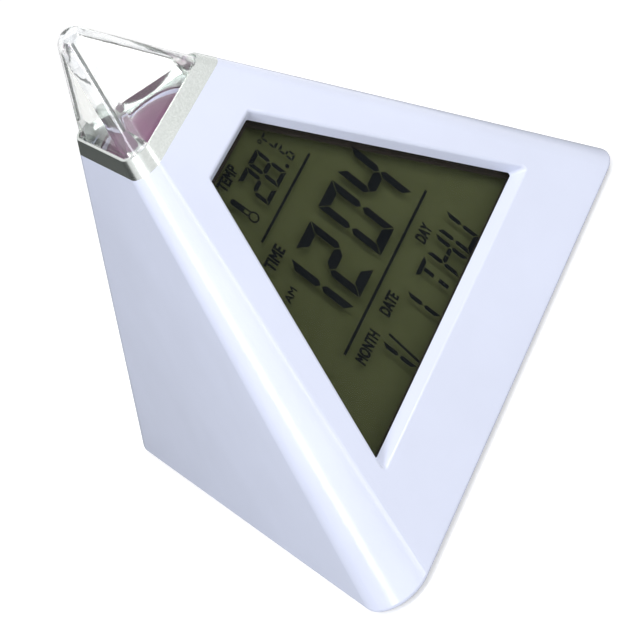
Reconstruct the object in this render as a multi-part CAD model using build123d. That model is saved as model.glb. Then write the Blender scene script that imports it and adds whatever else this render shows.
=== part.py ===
from build123d import *
import os
from math import sqrt

# Desk clock in the form of a three-sided pyramid with rounded ridges.
# The front face has a sunk display, the clear tip is a push button over a lamp, and the base holds
# the battery tub, its door and four setting keys.
# Lengths are in millimetres. +X is right, +Y is back and +Z is up.
# The origin lies on the table, under the middle of the outline.

# Gaps and cuts
overrun = 1.0
slip_gap = 0.2
moving_gap = 0.3
stop_gap = 0.15

# Pyramid shell
pyramid_side = 116.0
base_corner_radius = 6.75
neck_corner_radius = 3.42
neck_below_apex = 27.84
wall = 1.8
rim_round = 0.5
least_inner_corner = 0.9
deck_thickness = 2.4
boss_radius = 3.0
boss_height = 5.6
boss_rib = 1.4

# Display window, measured on the front face
window_bottom = 14.23
window_below_apex = 37.89
window_low_border = 14.98
window_high_border = 13.88
window_sill = 1.7
window_jamb = 0.85
window_corner = 0.5
window_edge_round = 0.7

# Display stack behind the window
pane_thickness = 1.1
reflector_thickness = 0.25
pane_margin = 2.2
pane_ledge = 3.4
rear_pane_step = 2.6
frame_wall = 1.6
frame_bearing = 2.0
frame_back = 1.35
zebra_thickness = 1.8
zebra_from_ledge = 0.4
zebra_end_margin = 4.0

# Main board
board_thickness = 1.0
board_bottom = 11.5
board_top = 59.0
board_edge_gap = 0.8
post_radius = 2.0
post_wall_gap = 2.9
post_heights = (25.0, 50.0)
chip_radius = 6.0
chip_height = 1.6
chip_up_face = 38.0
crystal_radius = 1.0
crystal_length = 6.0
crystal_place = (11.0, 42.0)
capacitor_radius = 2.0
capacitor_height = 5.0
capacitor_places = ((-11.0, 46.0), (-16.5, 42.0))
thermistor_radius = 1.2
thermistor_length = 7.0
thermistor_lead_radius = 0.3
thermistor_lead_pitch = 1.4
thermistor_place = (27.0, 23.0)

# Screws
screw_thread_radius = 1.0
screw_hole_radius = 1.2
screw_head_radius = 1.9
screw_head_height = 1.3
screw_grip = 4.0
screw_slot_width = 0.5
screw_slot_depth = 0.6

# Silver collar
collar_height = 3.0
collar_wall = 0.4
collar_flange = 0.4

# Clear tip
tip_inset = 0.7
tip_rise = 1.0
tip_wall = 2.0
tip_ridge_radius = 2.95
tip_travel = 1.0
hollow_ridge_radius = 0.4
hollow_below_apex = 2.4
tip_post_radius = 1.8
tip_post_height = 6.0
leg_from_corner = 1.3
leg_thickness = 1.7
leg_width = 2.6
hook_reach = 1.1
hook_height = 1.6
hook_foot = 0.6

# Lamp under the tip
diffuser_radius = 8.0
diffuser_dome_radius = 13.0
diffuser_below_collar = 1.0
diffuser_wall = 1.0
well_ledge = 1.0
well_wall = 0.4
well_height = 2.6
lamp_board_thickness = 1.2
lamp_board_inradius = 10.4
lamp_board_corner = 2.0
lamp_board_front = 5.5
lamp_post_radius = 1.8
lamp_post_place = (9.0, 1.0)
led_radius = 2.5
led_flange_radius = 2.9
led_flange_height = 1.0
led_height = 8.6
led_below_dome = 1.2

# Small push switches
switch_side = 4.5
switch_height = 3.0
switch_floor = 0.3
switch_button_radius = 1.1
switch_button_gap = 0.15

# Base cover
foot_lift = 1.0
cover_recess = 0.3
cover_thickness = 2.0
cover_screw_from_corner = 22.0
cover_screw_land = 1.0
foot_from_corner = 13.8
foot_radius = 3.5
foot_sink = 0.8

# Battery tub, cells and contacts
cell_radius = 5.2
cell_length = 44.5
cell_nub_radius = 1.9
cell_nub_height = 0.8
cell_pitch = 10.9
cell_side_gap = 0.3
cell_end_gap = 1.6
cell_count = 2
tub_from_front = 13.7
tub_wall = 1.2
tub_shoulder = 4.8
contact_thickness = 0.3
contact_width = 7.5
contact_height = 8.5
contact_tag_width = 2.8
contact_tag_height = 2.0
dimple_radius = 2.4
leaf_width = 4.5
leaf_height = 6.0

# Battery door
door_thickness = 1.6
door_gap = 0.25
door_tab_width = 7.0
door_tab_spread = 28.0
door_tab_reach = 1.8
door_tab_root = 1.4
door_tab_thickness = 0.8
latch_width = 12.0
latch_length = 8.0
latch_slit = 0.8
grip_radius = 6.0
grip_depth = 0.9
grip_rib_count = 4
grip_rib_pitch = 1.7
grip_rib_radius = 0.5

# Setting keys and their board
key_radius = 3.1
key_recess = 0.2
key_flange_reach = 0.7
key_flange_height = 1.0
key_stem_radius = 1.5
key_stem_height = 1.6
key_travel = 0.6
key_pitch = 10.0
key_behind_tub = 7.4
key_names = ("mode", "set", "up", "down")
key_board_thickness = 1.2
key_board_front_margin = 4.6
key_board_wall_gap = 0.8
key_post_radius = 2.0
key_post_half_spread = 12.0
key_post_behind_keys = 6.8
buzzer_radius = 6.0
buzzer_height = 5.2
buzzer_mouth_radius = 1.0
buzzer_mouth_depth = 1.5
buzzer_behind_keys = 17.5
buzzer_board_margin = 1.5
buzzer_ring_wall = 1.0
buzzer_ring_height = 2.5
sound_hole_radius = 0.8
sound_hole_count = 6
sound_hole_circle = 3.2

# Wires
ribbon_thickness = 0.9
lamp_ribbon_width = 6.0
key_ribbon_width = 8.0
ribbon_bend = 1.6
ribbon_lead_out = 3.5
lamp_ribbon_up_face = 53.0
lamp_ribbon_behind_axis = 0.5
lamp_ribbon_sag = 6.5
key_ribbon_up_face = 24.0
key_ribbon_over_tub = 2.4
key_ribbon_ahead_of_keys = 2.2
lead_radius = 0.6
lead_bend = 1.6
lead_up_faces = (25.0, 30.0)

# Shape of the regular pyramid
lean_sin = 1 / 3
lean_cos = sqrt(8) / 3
pyramid_height = pyramid_side * sqrt(2 / 3)
slant_height = pyramid_side * sqrt(3) / 2
base_inradius = pyramid_side / (2 * sqrt(3))
inradius_share = base_inradius / pyramid_height

# Places in the common frame
outline_depth = 3 * base_inradius - base_corner_radius
front_y = -outline_depth / 2
axis_y = front_y + base_inradius
rim_z = foot_lift
apex_z = rim_z + pyramid_height
neck_z = apex_z - neck_below_apex
deck_low_z = neck_z - deck_thickness
collar_top_z = neck_z + collar_height
cover_low_z = rim_z + cover_recess
cover_top_z = cover_low_z + cover_thickness

# Depths behind the front face
rear_pane_depth = wall + pane_thickness
reflector_depth = rear_pane_depth + pane_thickness
frame_back_depth = reflector_depth + reflector_thickness
board_depth = frame_back_depth + frame_back
board_rear_depth = board_depth + board_thickness

# Window edges
window_top = slant_height - window_below_apex
half_side_share = pyramid_side / 2 / slant_height
window_low_half = (slant_height - window_bottom) * half_side_share - window_low_border
window_high_half = (slant_height - window_top) * half_side_share - window_high_border
window_slope_share = (window_low_half - window_high_half) / (window_top - window_bottom)
window_stretch_share = sqrt(1 + window_slope_share ** 2)
view_bottom = window_bottom + window_sill
view_top = window_top - window_jamb
pane_bottom = view_bottom - pane_ledge
pane_top = view_top + pane_margin
pane_grow = pane_margin - window_jamb
rear_pane_bottom = pane_bottom + rear_pane_step

# Heights in the head of the clock
tip_low_z = neck_z + collar_flange + tip_travel + slip_gap
tip_apex_z = apex_z + tip_rise
dome_top_z = collar_top_z - diffuser_below_collar
dome_center_z = dome_top_z - diffuser_dome_radius
lamp_board_z = dome_top_z - diffuser_wall - led_below_dome - led_height
tip_button_z = lamp_board_z + switch_height + tip_travel + stop_gap

# Heights and places in the base
door_top_z = cover_low_z + door_thickness
cell_z = cover_top_z + cell_radius
tub_roof_z = cell_z + cell_radius + cell_side_gap
tub_top_z = tub_roof_z + tub_wall
tub_half = cell_length / 2 + cell_end_gap
tub_front_y = front_y + tub_from_front
first_cell_y = tub_front_y + cell_side_gap + cell_radius
last_cell_y = first_cell_y + cell_pitch * (cell_count - 1)
tub_rear_y = last_cell_y + cell_radius + cell_side_gap
key_y = tub_rear_y + tub_wall + key_behind_tub
key_low_z = cover_low_z + key_recess
key_flange_z = cover_top_z + stop_gap
key_stem_z = key_flange_z + key_flange_height
key_button_z = key_stem_z + key_stem_height
key_switch_z = key_button_z + key_travel + stop_gap
key_board_z = key_switch_z + switch_height
key_post_y = key_y + key_post_behind_keys
buzzer_y = key_y + buzzer_behind_keys


def rod(x, y, radius, low, high):
    """Upright round bar."""
    bar = Cylinder(radius, high - low, align=(Align.CENTER, Align.CENTER, Align.MIN))
    return Pos(x, y, low) * bar


def block(x_low, x_high, y_low, y_high, z_low, z_high):
    """Square block between two opposite corners."""
    size = Box(x_high - x_low, y_high - y_low, z_high - z_low, align=(Align.MIN, Align.MIN, Align.MIN))
    return Pos(x_low, y_low, z_low) * size


def inradius_at(z, inset):
    """Distance from the upright axis to a face, a wall inset inside the sharp pyramid."""
    return (apex_z - z) * inradius_share - inset / lean_cos


def tip_slope_share():
    """How much the tip narrows with height, which is a little less than the shell does."""
    return inradius_at(tip_low_z, tip_inset) / (tip_apex_z - tip_low_z)


def tip_peak_z(inset):
    """Height of the sharp apex of the tip, a wall inset inside it."""
    slope_share = tip_slope_share()
    return tip_apex_z - inset * sqrt(1 + slope_share ** 2) / slope_share


def tip_triangle(z, inset):
    """Sharp outline of the tip at a height, a wall inset inside it."""
    return Pos(0, axis_y, z) * triangle((tip_peak_z(inset) - z) * tip_slope_share())


def triangle(inradius):
    """Triangle with its flat side to the front, centred on the axis."""
    corner = sqrt(3) * inradius
    return Polygon((-corner, -inradius), (corner, -inradius), (0, 2 * inradius), align=None)


def ring_outline(z, inset):
    """Rounded triangle that the pyramid has at a height."""
    climbed_share = (z - rim_z) / (neck_z - rim_z)
    outer_corner = base_corner_radius + (neck_corner_radius - base_corner_radius) * climbed_share
    corner = max(outer_corner - inset, least_inner_corner)
    sharp = triangle(inradius_at(z, inset))
    return Pos(0, axis_y, z) * fillet(sharp.vertices(), corner)


def pyramid_block(low, high, inset):
    """Slice of the rounded pyramid between two heights."""
    return loft([ring_outline(low, inset), ring_outline(high, inset)], ruled=True)


def corner_places(from_corner):
    """Places on the base, a distance in from its three sharp corners, turned to face them."""
    spokes = PolarLocations(2 * base_inradius - from_corner, 3, start_angle=90)
    return [Pos(0, axis_y) * spoke for spoke in spokes]


def leg_places():
    """Places of the tip's legs, in its three corners, the rear one first."""
    hollow_inradius = (tip_peak_z(tip_wall) - tip_low_z) * tip_slope_share()
    from_axis = 2 * hollow_inradius - leg_from_corner
    spokes = PolarLocations(from_axis, 3, start_angle=90)
    return [Pos(0, axis_y) * spoke for spoke in spokes]


def front_plane(depth):
    """Plane inside the front face and parallel to it, with its Y up the slope."""
    origin = (0, front_y + depth * lean_cos, rim_z - depth * lean_sin)
    return Plane(origin=origin, x_dir=(1, 0, 0), z_dir=(0, -lean_cos, lean_sin))


def front_slab(outline, near, far):
    """Slab behind the front face between two depths."""
    return extrude(front_plane(far) * outline, amount=far - near)


def front_rod(x, up, radius, near, far):
    """Round bar square to the front face."""
    return front_slab(Pos(x, up) * Circle(radius), near, far)


def window_half(up):
    """Half the window's width at a height on the face."""
    return window_low_half - (up - window_bottom) * window_slope_share


def trapezoid(low, high, grow):
    """Outline with the window's slanting sides, moved out by a margin."""
    low_half = window_half(low) + grow * window_stretch_share
    high_half = window_half(high) + grow * window_stretch_share
    return Polygon((-low_half, low), (low_half, low), (high_half, high), (-high_half, high), align=None)


def window_outline(depth):
    """Edge of the sunk window at a depth, with its sill and jambs sloping in."""
    sunk_share = depth / wall
    sides = window_jamb * sunk_share
    sharp = trapezoid(window_bottom + window_sill * sunk_share, window_top - sides, -sides)
    return front_plane(depth) * fillet(sharp.vertices(), window_corner)


def window_edges(shell):
    """Edges of the window on the outside of the front face."""
    outwards = Axis((0, 0, 0), (0, -lean_cos, lean_sin))
    front_face = shell.faces().sort_by(outwards)[-1]
    return front_face.inner_wires()[0].edges()


def inner_half(up, depth):
    """Half the room between the side walls at a depth behind the front face."""
    face_half = (slant_height - up) * half_side_share
    return face_half - depth / sqrt(6) - wall * sqrt(3 / 2)


def post_places():
    """Places on the front face of the posts that carry the main board."""
    halves = [(inner_half(up, board_rear_depth) - post_wall_gap, up) for up in post_heights]
    return [(side * half, up) for half, up in halves for side in (-1, 1)]


def screw(grip):
    """Slotted screw along Z with the underside of its head at zero and its thread below."""
    head = Cylinder(screw_head_radius, screw_head_height, align=(Align.CENTER, Align.CENTER, Align.MIN))
    shank = Cylinder(screw_thread_radius, grip, align=(Align.CENTER, Align.CENTER, Align.MAX))
    slot = Box(2 * screw_head_radius, screw_slot_width, 2 * screw_slot_depth)
    return head + shank - Pos(0, 0, screw_head_height) * slot


def leg_slots(low, high):
    """Clearance cuts for the three legs of the tip."""
    length = leg_thickness + 2 * moving_gap
    width = leg_width + 2 * moving_gap
    slot = Box(length, width, high - low, align=(Align.CENTER, Align.CENTER, Align.MIN))
    return [place * Pos(0, 0, low) * slot for place in leg_places()]


def lamp_post_places():
    """Places of the two posts under the deck that carry the lamp board."""
    side, behind_axis = lamp_post_place
    return [(-side, axis_y + behind_axis), (side, axis_y + behind_axis)]


def pyramid_shell():
    """White housing: three sloping walls, a deck under the tip, and the bosses inside."""
    outer = pyramid_block(rim_z, neck_z, 0)
    outer = fillet(outer.faces().sort_by(Axis.Z)[0].edges(), rim_round)
    room = pyramid_block(rim_z - overrun, deck_low_z, wall)
    pocket_radius = diffuser_radius + slip_gap
    fittings = rod(0, axis_y, pocket_radius + well_wall, deck_low_z - well_height, neck_z)
    for x, y in lamp_post_places():
        fittings += rod(x, y, lamp_post_radius, lamp_board_z, neck_z)
    for x, up in post_places():
        fittings += front_rod(x, up, post_radius, 0, board_depth)
    boss = Cylinder(boss_radius, boss_height, align=(Align.CENTER, Align.CENTER, Align.MIN))
    rib = Box(cover_screw_from_corner, boss_rib, boss_height, align=(Align.MIN, Align.CENTER, Align.MIN))
    for place in corner_places(cover_screw_from_corner):
        fittings += place * Pos(0, 0, cover_top_z) * (boss + rib)
    shell = outer - room + (fittings & pyramid_block(rim_z, neck_z, wall / 2))
    shell -= loft([window_outline(-overrun), window_outline(wall + overrun)], ruled=True)
    shell = fillet(window_edges(shell), window_edge_round)
    shell -= rod(0, axis_y, pocket_radius, deck_low_z, neck_z + overrun)
    shell -= rod(0, axis_y, diffuser_radius - well_ledge, deck_low_z - well_height - overrun, neck_z)
    shell -= leg_slots(deck_low_z - overrun, neck_z + overrun)
    for x, y in lamp_post_places():
        shell -= rod(x, y, screw_thread_radius, lamp_board_z - overrun, lamp_board_z + screw_grip)
    for x, up in post_places():
        shell -= front_rod(x, up, screw_thread_radius, board_depth - screw_grip, board_depth + overrun)
    for place in corner_places(cover_screw_from_corner):
        shell -= place * rod(0, 0, screw_thread_radius, cover_top_z - overrun, cover_top_z + screw_grip)
    return shell


def tip_collar():
    """Thin silver ring with a flange that lies on the deck."""
    flange_top = neck_z + collar_flange
    ring = pyramid_block(neck_z, collar_top_z, 0)
    ring -= pyramid_block(flange_top, collar_top_z + overrun, collar_wall)
    ring -= rod(0, axis_y, diffuser_radius + slip_gap, neck_z - overrun, flange_top + overrun)
    return ring - leg_slots(neck_z - overrun, flange_top + overrun)


def tip_outside():
    """Solid form of the tip, with round ridges and a round apex."""
    peak = loft([tip_triangle(tip_low_z, 0), Vertex(0, axis_y, tip_apex_z)])
    ridges = peak.edges().sort_by(Axis.Z)[3:]
    return fillet(ridges, tip_ridge_radius)


def tip_hollow():
    """Room inside the tip, a pyramid with crisp ridges that is cut off flat below its apex."""
    flat_z = tip_peak_z(tip_wall) - hollow_below_apex
    room = loft([tip_triangle(tip_low_z - overrun, tip_wall), tip_triangle(flat_z, tip_wall)], ruled=True)
    ridges = room.edges().sort_by(Axis.Z)[3:6]
    return fillet(ridges, hollow_ridge_radius)


def tip_leg(low):
    """Leg with a barb that hooks under the deck, drawn from the side."""
    outside = leg_thickness / 2
    inside = -outside
    barb_top = deck_low_z - stop_gap
    profile = Polygon(
        (outside, tip_low_z),
        (inside, tip_low_z),
        (inside, barb_top),
        (inside - hook_reach, barb_top),
        (inside, barb_top - hook_height),
        (inside, low),
        (outside, low),
        align=None,
    )
    return extrude(Plane.XZ * profile, amount=leg_width / 2, both=True)


def clear_tip():
    """Hollow clear cap with a round post in each corner, on three legs, the rear one over the switch."""
    outside = tip_outside()
    tip = outside - tip_hollow()
    post = rod(0, 0, tip_post_radius, tip_low_z, tip_low_z + tip_post_height)
    short_low = deck_low_z - stop_gap - hook_height - hook_foot
    for place, low in zip(leg_places(), (tip_button_z, short_low, short_low)):
        tip += outside & (place * post)
        tip += place * tip_leg(low)
    return tip


def lamp_diffuser():
    """Mauve domed lens that drops into the deck."""
    dome = rod(0, axis_y, diffuser_radius, deck_low_z, apex_z)
    dome &= Pos(0, axis_y, dome_center_z) * Sphere(diffuser_dome_radius)
    hollow = rod(0, axis_y, diffuser_radius - diffuser_wall, deck_low_z - overrun, apex_z)
    hollow &= Pos(0, axis_y, dome_center_z) * Sphere(diffuser_dome_radius - diffuser_wall)
    return dome - hollow


def lamp_board():
    """Small board under the deck, cut straight at the front to clear the display."""
    sharp = triangle(lamp_board_inradius)
    outline = fillet(sharp.vertices(), lamp_board_corner)
    board = extrude(Pos(0, axis_y, lamp_board_z) * outline, amount=-lamp_board_thickness)
    cut = 2 * lamp_board_inradius
    cut_y = axis_y - lamp_board_front
    board -= block(-cut, cut, cut_y - cut, cut_y, lamp_board_z - cut, lamp_board_z + overrun)
    for x, y in lamp_post_places():
        board -= rod(x, y, screw_hole_radius, lamp_board_z - cut, lamp_board_z + overrun)
    return board


def rgb_led():
    """Round lamp with a domed top and a flange."""
    body_top = lamp_board_z + led_height - led_radius
    led = rod(0, axis_y, led_radius, lamp_board_z, body_top)
    led += Pos(0, axis_y, body_top) * Sphere(led_radius)
    return led + rod(0, axis_y, led_flange_radius, lamp_board_z, lamp_board_z + led_flange_height)


def lamp_screws():
    """Two screws up through the lamp board into its posts."""
    low = lamp_board_z - lamp_board_thickness
    fixing = Rot(180, 0, 0) * screw(screw_grip)
    return [Pos(x, y, low) * fixing for x, y in lamp_post_places()]


def switch_case():
    """Square switch case on the top of a board, with a well for its button."""
    case = Box(switch_side, switch_side, switch_height, align=(Align.CENTER, Align.CENTER, Align.MIN))
    well_radius = switch_button_radius + switch_button_gap
    return case - rod(0, 0, well_radius, switch_floor, switch_height + overrun)


def switch_button(travel):
    """Round button that stands out of the case by its travel and stays in its well when pressed."""
    low = switch_floor + stop_gap + travel
    return rod(0, 0, switch_button_radius, low, switch_height + stop_gap + travel)


def tip_switch_place():
    """Place of the switch under the rear leg."""
    return leg_places()[0] * Pos(0, 0, lamp_board_z)


def lcd_frame():
    """White frame that holds the panes against the window, with a slot for the rubber connector."""
    outline = trapezoid(pane_bottom - frame_wall, pane_top + frame_wall, pane_grow + frame_wall)
    frame = front_slab(outline, wall, board_depth)
    pocket = trapezoid(pane_bottom - slip_gap, pane_top + slip_gap, pane_grow + slip_gap)
    frame -= front_slab(pocket, wall - overrun, frame_back_depth)
    bearing = trapezoid(rear_pane_bottom + frame_bearing, pane_top - frame_bearing, pane_grow - frame_bearing)
    frame -= front_slab(bearing, wall, board_depth + overrun)
    return frame - front_slab(zebra_outline(slip_gap), wall, board_depth + overrun)


def zebra_outline(grow):
    """Long thin rectangle of the rubber connector."""
    half = window_half(pane_bottom) - zebra_end_margin + grow
    low = pane_bottom + zebra_from_ledge - grow
    high = pane_bottom + zebra_from_ledge + zebra_thickness + grow
    return Polygon((-half, low), (half, low), (half, high), (-half, high), align=None)


def main_board():
    """Board behind the display, as wide as the side walls leave room for."""
    low_half = inner_half(board_bottom, board_rear_depth) - board_edge_gap
    high_half = inner_half(board_top, board_rear_depth) - board_edge_gap
    outline = Polygon(
        (-low_half, board_bottom),
        (low_half, board_bottom),
        (high_half, board_top),
        (-high_half, board_top),
        align=None,
    )
    board = front_slab(outline, board_depth, board_rear_depth)
    for x, up in post_places():
        board -= front_rod(x, up, screw_hole_radius, board_depth - overrun, board_rear_depth + overrun)
    return board


def board_rear_place(x, up):
    """Place on the back of the main board with Z pointing into the clock."""
    return front_plane(board_rear_depth).location * Pos(x, up) * Rot(180, 0, 0)


def chip_blob():
    """Shallow black dome of resin over the chip."""
    ball_radius = (chip_radius ** 2 + chip_height ** 2) / (2 * chip_height)
    cap = Pos(0, 0, chip_height - ball_radius) * Sphere(ball_radius)
    cap &= rod(0, 0, chip_radius, 0, chip_height)
    return board_rear_place(0, chip_up_face) * cap


def crystal_can():
    """Small metal can lying on the board."""
    can = Pos(0, 0, crystal_radius) * Rot(0, 90, 0) * Cylinder(crystal_radius, crystal_length)
    x, up = crystal_place
    return board_rear_place(x, up) * can


def capacitors():
    """Round cans standing on the board."""
    can = rod(0, 0, capacitor_radius, 0, capacitor_height)
    return [board_rear_place(x, up) * can for x, up in capacitor_places]


def thermistor():
    """Bead on two wires that feels the room's warmth."""
    bead_z = thermistor_length - thermistor_radius
    bead = Pos(0, 0, bead_z) * Sphere(thermistor_radius)
    for side in (-1, 1):
        bead += rod(side * thermistor_lead_pitch / 2, 0, thermistor_lead_radius, 0, bead_z)
    x, up = thermistor_place
    return board_rear_place(x, up) * bead


def board_screws():
    """Four screws through the main board into the posts of the front wall."""
    return [board_rear_place(x, up) * screw(screw_grip) for x, up in post_places()]


def tub_block(margin, low, high, shoulder):
    """Rounded block for the outside or the inside of the battery tub."""
    half = tub_half + margin
    tub = block(-half, half, tub_front_y - margin, tub_rear_y + margin, low, high)
    ridges = tub.edges().filter_by(Axis.X).sort_by(Axis.Z)[-2:]
    return fillet(ridges, shoulder)


def key_xs():
    """Places of the keys across the base."""
    first = -key_pitch * (len(key_names) - 1) / 2
    return [first + key_pitch * number for number in range(len(key_names))]


def key_post_xs():
    """Places across the base of the posts that carry the key board."""
    return (-key_post_half_spread, key_post_half_spread)


def tab_xs():
    """Places of the door's two tabs."""
    return (-door_tab_spread / 2, door_tab_spread / 2)


def base_cover():
    """Bottom plate with the battery tub, key holes, sound holes and foot recesses."""
    cover = pyramid_block(cover_low_z, cover_top_z, wall + slip_gap)
    cover += tub_block(tub_wall, cover_low_z, tub_top_z, tub_shoulder)
    for x in key_post_xs():
        cover += rod(x, key_post_y, key_post_radius, cover_low_z, key_board_z)
    ring_radius = buzzer_radius + moving_gap
    ring_top = cover_top_z + buzzer_ring_height
    cover += rod(0, buzzer_y, ring_radius + buzzer_ring_wall, cover_low_z, ring_top)
    cover -= rod(0, buzzer_y, ring_radius, cover_top_z, ring_top + overrun)
    cover -= tub_block(0, cover_low_z - overrun, tub_roof_z, tub_shoulder - tub_wall)
    slot_half = door_tab_width / 2 + moving_gap
    slot_y = tub_front_y - tub_wall - overrun
    slot_top = cover_top_z + door_tab_reach + 2 * door_tab_thickness
    for x in tab_xs():
        cover -= block(x - slot_half, x + slot_half, slot_y, tub_front_y + overrun, cover_top_z, slot_top)
    for x in key_xs():
        cover -= rod(x, key_y, key_radius + moving_gap, cover_low_z - overrun, cover_top_z + overrun)
    for x in key_post_xs():
        cover -= rod(x, key_post_y, screw_thread_radius, key_board_z - screw_grip, key_board_z + overrun)
    holes = PolarLocations(sound_hole_circle, sound_hole_count)
    mouth = rod(0, 0, sound_hole_radius, cover_low_z - overrun, cover_top_z + overrun)
    cover -= [Pos(0, buzzer_y) * hole * mouth for hole in holes]
    head_room = rod(0, 0, screw_head_radius + slip_gap, cover_low_z - overrun, cover_top_z - cover_screw_land)
    shank_room = rod(0, 0, screw_hole_radius, cover_low_z, cover_top_z + overrun)
    cover -= [place * (head_room + shank_room) for place in corner_places(cover_screw_from_corner)]
    foot_room = rod(0, 0, foot_radius, cover_low_z - overrun, cover_low_z + foot_sink)
    cover -= [place * foot_room for place in corner_places(foot_from_corner)]
    grip = rod(0, tub_rear_y, grip_radius, cover_low_z - overrun, cover_low_z + grip_depth)
    for tag_y in (first_cell_y, last_cell_y):
        cover -= contact_tag(tag_y, slip_gap)
    return cover - grip


def battery_door():
    """Flat door with two hooked tabs at its front and a springy latch tongue at its rear."""
    half = tub_half - door_gap
    front = tub_front_y + door_gap
    rear = tub_rear_y - door_gap
    door = block(-half, half, front, rear, cover_low_z, door_top_z)
    tab_low = cover_top_z + stop_gap
    tab_top = tab_low + door_tab_thickness
    tab_half = door_tab_width / 2
    for x in tab_xs():
        door += block(x - tab_half, x + tab_half, front, front + door_tab_root, door_top_z, tab_top)
        door += block(x - tab_half, x + tab_half, front - door_tab_reach, front, tab_low, tab_top)
    slit_front = rear - latch_length
    for side in (-1, 1):
        x = side * latch_width / 2
        slit = block(x - latch_slit / 2, x + latch_slit / 2, slit_front, rear, cover_low_z, door_top_z)
        door -= slit
    rib_half = latch_width / 2 - 2 * latch_slit
    rib = Rot(0, 90, 0) * Cylinder(grip_rib_radius, 2 * rib_half)
    for number in range(grip_rib_count):
        door -= Pos(0, rear - grip_rib_pitch * (number + 1), cover_low_z) * rib
    return door


def cell_rows():
    """Each cell's place from front to back, with the side that its positive end points to."""
    return [(first_cell_y + cell_pitch * number, 1 - 2 * (number % 2)) for number in range(cell_count)]


def aaa_cells():
    """Dry cells lying across the clock, each second one turned round."""
    can_length = cell_length - cell_nub_height
    can = Pos(0, 0, -cell_length / 2) * rod(0, 0, cell_radius, 0, can_length)
    can += Pos(0, 0, -cell_length / 2) * rod(0, 0, cell_nub_radius, 0, cell_length)
    return [Pos(0, y, cell_z) * Rot(0, 90 * side, 0) * can for y, side in cell_rows()]


def contact_plate(y):
    """Flat plate against the left end wall of the tub, opposite one cell."""
    left = -tub_half
    half = contact_width / 2
    low = cell_z - contact_height / 2
    return block(left, left + contact_thickness, y - half, y + half, low, low + contact_height)


def contact_tag(y, grow):
    """Solder tag that runs up through the tub's roof."""
    left = -tub_half - grow
    right = -tub_half + contact_thickness + grow
    half = contact_tag_width / 2 + grow
    return block(left, right, y - half, y + half, cell_z, tub_top_z + contact_tag_height)


def leaf_spring(y):
    """Bent strip from the plate to the flat end of a cell."""
    base_x = -tub_half + contact_thickness / 2
    touch_x = -tub_half + cell_end_gap - contact_thickness / 2
    half = leaf_height / 2
    line = Polyline((base_x, cell_z - half), (touch_x, cell_z), (base_x, cell_z + half))
    strip = Plane.XZ * trace(line, line_width=contact_thickness)
    return Pos(0, y, 0) * extrude(strip, amount=leaf_width / 2, both=True)


def dimple(y):
    """Raised round pad from the plate to the nub of a cell."""
    height = cell_end_gap - contact_thickness
    pad = Cone(dimple_radius, cell_nub_radius, height, align=(Align.CENTER, Align.CENTER, Align.MIN))
    return Pos(-tub_half + contact_thickness, y, cell_z) * Rot(0, 90, 0) * pad


def negative_contact():
    """Leaf contact for the front cell."""
    return contact_plate(first_cell_y) + contact_tag(first_cell_y, 0) + leaf_spring(first_cell_y)


def positive_contact():
    """Pad contact for the rear cell."""
    return contact_plate(last_cell_y) + contact_tag(last_cell_y, 0) + dimple(last_cell_y)


def link_contact():
    """One plate on the right that joins the two cells in series."""
    half = contact_width / 2
    low = cell_z - contact_height / 2
    left = -tub_half
    right = left + contact_thickness
    bridge = block(left, right, first_cell_y - half, last_cell_y + half, low, low + contact_height)
    plate = bridge + dimple(first_cell_y) + leaf_spring(last_cell_y)
    return mirror(plate, about=Plane.YZ)


def key_cap(x):
    """Round key with a flange that keeps it in the cover and a stem up to its switch."""
    cap = rod(x, key_y, key_radius, key_low_z, key_stem_z)
    cap += rod(x, key_y, key_radius + key_flange_reach, key_flange_z, key_stem_z)
    return cap + rod(x, key_y, key_stem_radius, key_stem_z, key_button_z)


def key_switch_place(x):
    """Place of a switch that hangs under the key board."""
    return Pos(x, key_y, key_board_z) * Rot(180, 0, 0)


def key_board():
    """Board over the keys, as wide as the walls leave room for, that also carries the buzzer."""
    front = key_y - key_board_front_margin
    rear = buzzer_y + buzzer_radius + buzzer_board_margin
    top = key_board_z + key_board_thickness
    outline = ring_outline(top, wall + key_board_wall_gap)
    board = extrude(Pos(0, 0, -key_board_thickness) * outline, amount=key_board_thickness)
    board &= block(-tub_half, tub_half, front, rear, key_board_z, top)
    for x in key_post_xs():
        board -= rod(x, key_post_y, screw_hole_radius, key_board_z - overrun, top + overrun)
    return board


def key_board_screws():
    """Two screws down through the key board into the cover's posts."""
    top = key_board_z + key_board_thickness
    return [Pos(x, key_post_y, top) * screw(screw_grip) for x in key_post_xs()]


def buzzer():
    """Round sounder under the key board with its mouth over the sound holes."""
    low = key_board_z - buzzer_height
    case = rod(0, buzzer_y, buzzer_radius, low, key_board_z)
    return case - rod(0, buzzer_y, buzzer_mouth_radius, low - overrun, low + buzzer_mouth_depth)


def base_screws():
    """Three screws up through the cover into the shell's bosses."""
    fixing = Pos(0, 0, cover_top_z - cover_screw_land) * Rot(180, 0, 0) * screw(screw_grip)
    return [place * fixing for place in corner_places(cover_screw_from_corner)]


def rubber_feet():
    """Three round feet let into the cover."""
    foot = rod(0, 0, foot_radius, 0, cover_low_z + foot_sink)
    return [place * foot for place in corner_places(foot_from_corner)]


def board_point(up, out):
    """Y and Z of a point behind the main board, out along the board's normal."""
    depth = board_rear_depth + out
    return (front_y + up * lean_sin + depth * lean_cos, rim_z + up * lean_cos - depth * lean_sin)


def ribbon(points, width):
    """Flat ribbon of wires bent along a path in the middle plane of the clock."""
    path = FilletPolyline(*points, radius=ribbon_bend)
    strip = Plane.YZ * trace(path, line_width=ribbon_thickness)
    return extrude(strip, amount=width / 2, both=True)


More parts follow.
